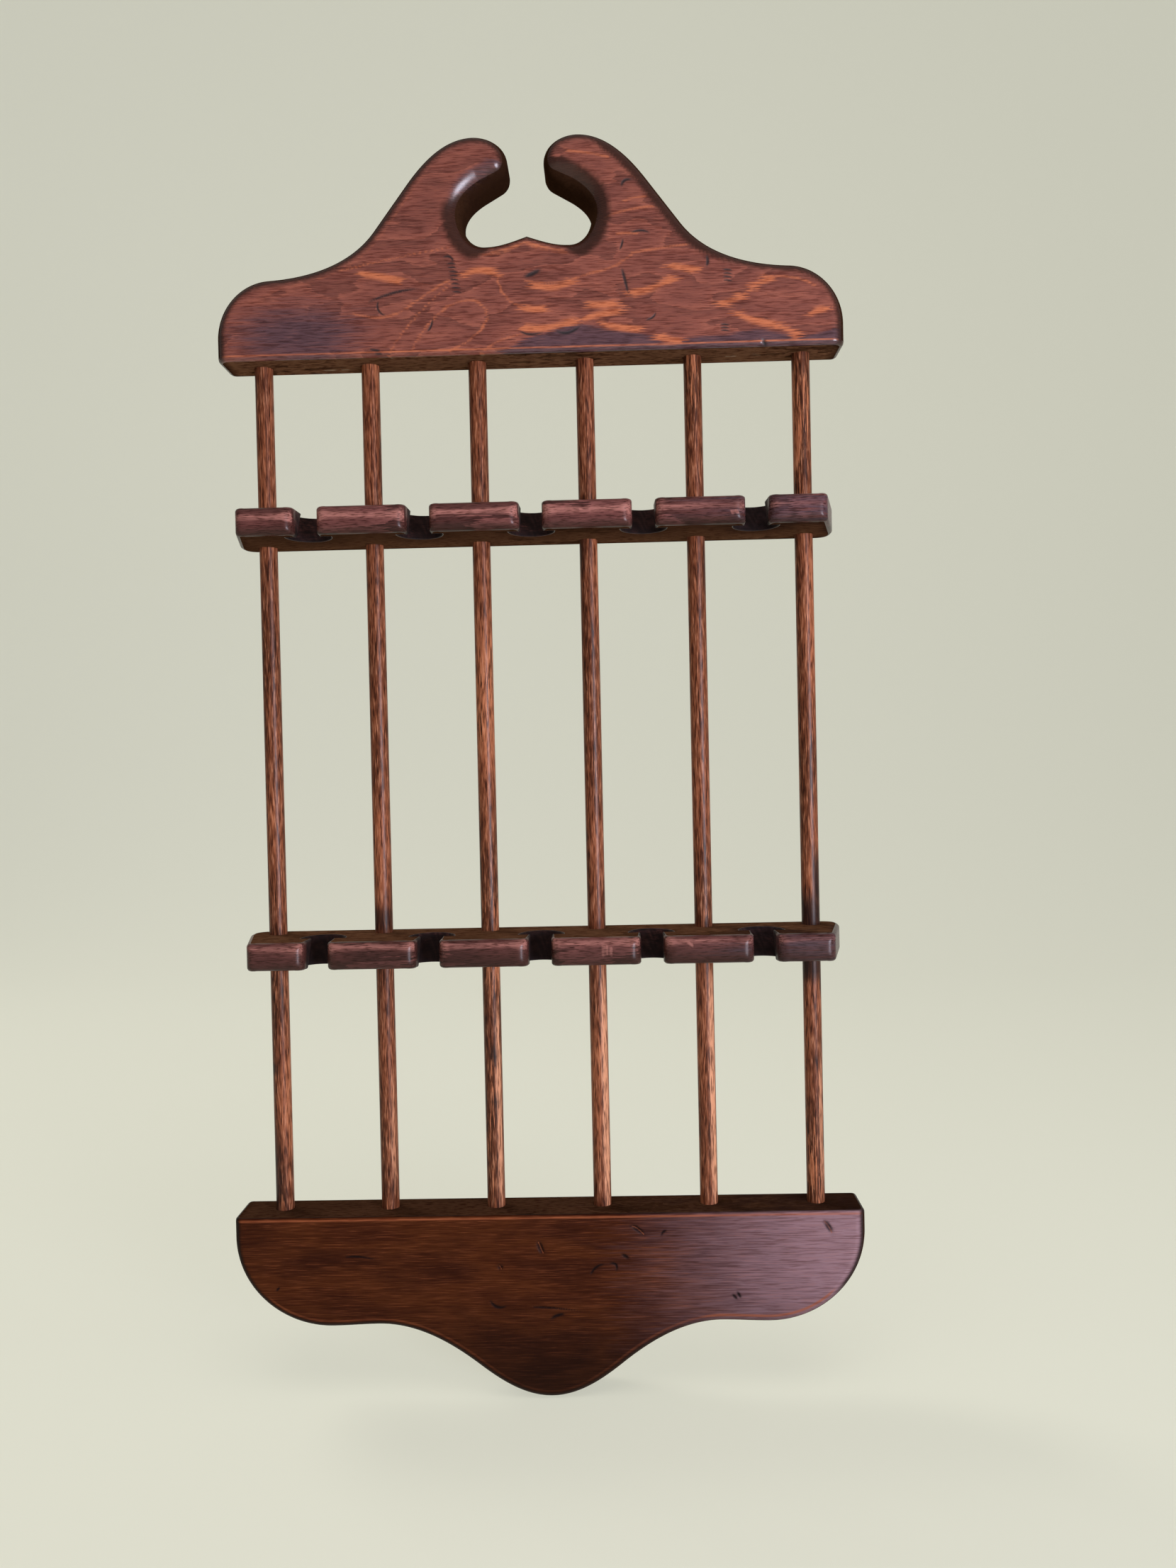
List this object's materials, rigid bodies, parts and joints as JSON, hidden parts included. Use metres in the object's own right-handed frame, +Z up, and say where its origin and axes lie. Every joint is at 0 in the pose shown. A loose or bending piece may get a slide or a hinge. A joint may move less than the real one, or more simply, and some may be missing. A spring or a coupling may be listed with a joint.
{
  "type": "spoon rack",
  "caption": "Wall-hung wooden spoon rack: scrolled crest and shaped apron joined by round dowels, carrying slotted rails that hold spoons by their stems.",
  "frame": {"origin": "the middle notch of the hanger, on the plane of the crest's back", "axes": "+Z up along the dowels, +X to the viewer's right, +Y out of the back towards the wall"},
  "size_m": [0.2214, 0.0349, 0.441],
  "materials": {
    "crest_wood": "dark red-brown stain under satin varnish, with lighter flame figure",
    "apron_wood": "dark red-brown stain under satin varnish, with fine open pores",
    "rail_wood": "dark stain under satin varnish, worn along the front edges",
    "dowel_wood": "warm brown stain, streaked along the grain",
    "hanger_steel": "zinc-plated steel"
  },
  "bodies": {
    "root": {"crest_board": "crest_wood", "apron_board": "apron_wood", "upper_rail": "rail_wood", "lower_rail": "rail_wood", "dowel_1": "dowel_wood", "dowel_2": "dowel_wood", "dowel_3": "dowel_wood", "dowel_4": "dowel_wood", "dowel_5": "dowel_wood", "dowel_6": "dowel_wood", "hanger": "hanger_steel", "hanger_nails": "hanger_steel"}
  },
  "joints": []
}
